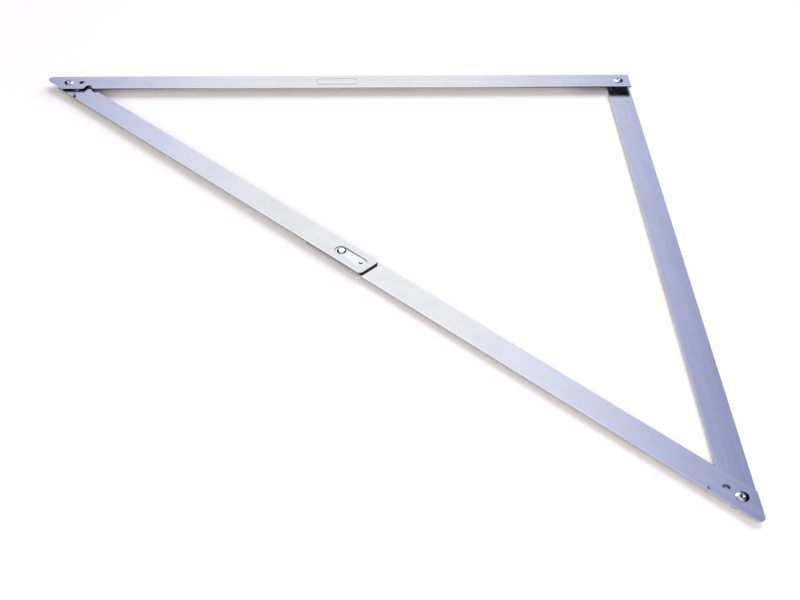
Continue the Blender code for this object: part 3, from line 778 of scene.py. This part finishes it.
bm = bmesh.new()
half_step = Matrix.Rotation(math.pi / CIRCLE_STEPS, 4, "Z")
rear = Matrix.Translation((LEAF_WIDTH / 2 - LEAF_BACK, 0, 0)) @ half_step
ring = bmesh.ops.create_circle(bm, segments=CIRCLE_STEPS, radius=LEAF_WIDTH / 2, matrix=rear)["verts"]
front_half = [v for v in ring if v.co.x > LEAF_WIDTH / 2 - LEAF_BACK]
bmesh.ops.translate(bm, verts=front_half, vec=(LEAF_LENGTH - LEAF_WIDTH, 0, 0))
for x, radius in ((0.0, SHANK_RADIUS + RUNNING_GAP), (PIN_REACH, PIN_HOLE_RADIUS)):
    bmesh.ops.create_circle(bm, segments=CIRCLE_STEPS, radius=radius, matrix=Matrix.Translation((x, 0, 0)))
bmesh.ops.triangle_fill(bm, use_beauty=True, use_dissolve=False, edges=bm.edges[:])
for row in range(1, LEAF_ROWS):
    at = LEAF_LENGTH * row / LEAF_ROWS - LEAF_BACK
    everything = bm.verts[:] + bm.edges[:] + bm.faces[:]
    bmesh.ops.bisect_plane(bm, geom=everything, plane_co=(at, 0, 0), plane_no=(1, 0, 0))
lifted = bmesh.ops.extrude_face_region(bm, geom=bm.faces[:])["geom"]
lifted_verts = [item for item in lifted if isinstance(item, bmesh.types.BMVert)]
bmesh.ops.translate(bm, verts=lifted_verts, vec=(0, 0, LEAF_THICKNESS))
bm.normal_update()
rim = [
    edge for edge in bm.edges
    if all(v.co.z > LEAF_THICKNESS / 2 for v in edge.verts) and edge.calc_face_angle(0) > SHARP_ANGLE
]
bmesh.ops.bevel(bm, geom=rim, offset=LEAF_EDGE, offset_type="OFFSET", segments=2, profile=0.5,
                affect="EDGES", material=-1, clamp_overlap=True)
leaf_place = Matrix.Translation(middle_pivot + Vector((0, 0, LEAF_TOP - LEAF_THICKNESS)))
leaf_place @= Matrix.Rotation(-math.pi / 4, 4, "Z")
leaf = finish_piece(bm, "catch_leaf", leaf_place, leaf_steel)

# %% [markdown]
# The catch's flat solid is hidden, and the leaf stands in its place.

along_brace = Vector((math.cos(-math.pi / 4), math.sin(-math.pi / 4), 0))
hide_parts("catch_spring")
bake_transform(leaf)

# %% [markdown]
# ## The catch's pin
#
# The pin hangs from the leaf's free end and drops through the catch brace into a hole in the plain brace.
# Its button head is what a finger nail lifts. It is turned like the rivets. To fold the square, the pin is
# first lifted clear.

# %% Pin
PIN_HEAD_RADIUS = 0.0017
PIN_HEAD_HEIGHT = 0.0009
PIN_SHANK_RADIUS = 0.0012
PIN_TIP = 0.0025  # height above the surface that the square lies on
PIN_TIP_ROUNDING = 0.0003
PIN_DIMPLE = ((0.0, 0.00018), (0.0005, 0.00018), (0.0008, 0.0))  # radius, depth
PIN_RIM = ((0.0012, 0.0), (0.0015, 0.00012), (0.00166, 0.0003), (0.0017, 0.0005))

pin_seat = LEAF_TOP + RUNNING_GAP
pin_top = pin_seat + PIN_HEAD_HEIGHT
pin_outline = [(r, pin_top - depth) for r, depth in PIN_DIMPLE + PIN_RIM]
pin_outline += [(PIN_HEAD_RADIUS, pin_seat), (PIN_SHANK_RADIUS, pin_seat)]
pin_outline += [(PIN_SHANK_RADIUS, PIN_TIP + PIN_TIP_ROUNDING)]
pin_outline += [(PIN_SHANK_RADIUS - PIN_TIP_ROUNDING, PIN_TIP)]
pin_place = middle_pivot + along_brace * PIN_REACH
pin = turn_piece("turned_catch_pin", pin_outline + [(0.0, PIN_TIP)], pin_place, "catch_pin", "catch")
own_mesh(pin)

# %% [markdown]
# ## Panels for one metal only
#
# The ceiling is painted as satin metal sees it, with all its edges blurred. Mirror-bright rivets would show
# the real panel's hard edge: white on one side of a head and dark on the other. A disc behind the square
# stands for that panel. Seen from behind or from the sides, the satin bars would mirror the dark room, so
# three wide dim panels stand in front of the square for them. Light linking lets only the rivets and the
# pin see the disc, and only the bars and the leaf see the panels, so neither spoils the other.

# %% Linked panels
DISC_SIZE, DISC_DISTANCE, DISC_POWER = 0.95, 2.2, 14.0
DISC_COLOUR = (1.0, 1.0, 1.0)
DISC_HEADING = (4, 41)
SIDE_SIZE, SIDE_DISTANCE, SIDE_POWER = 3.6, 3.0, 15.0
SIDE_COLOUR = (0.86, 0.90, 1.0)
SIDE_HEADINGS = (112, 180, 248)
SIDE_ELEVATION = 32

shiny = bpy.data.collections.new("rivets and pins")
satin = bpy.data.collections.new("bars and leaf")
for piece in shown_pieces():
    if piece.name.startswith("turned"):
        shiny.objects.link(piece)
    elif piece.name.startswith(tuple(bar_frames)) or piece == leaf:
        satin.objects.link(piece)


def add_linked_panel(name, side, size, distance, power, colour, receivers):
    """A panel that the receivers alone see, and mirror."""
    add_panel(name, side, size, distance, power, colour)
    panel = bpy.data.objects[name]
    panel.visible_glossy = True
    panel.light_linking.receiver_collection = receivers


disc_side = heading(*DISC_HEADING)
add_linked_panel("rivet disc", disc_side, DISC_SIZE, DISC_DISTANCE, DISC_POWER, DISC_COLOUR, shiny)
for azimuth in SIDE_HEADINGS:
    side = heading(azimuth, SIDE_ELEVATION)
    add_linked_panel(
        f"side panel {azimuth}", side, SIDE_SIZE, SIDE_DISTANCE, SIDE_POWER, SIDE_COLOUR, satin
    )
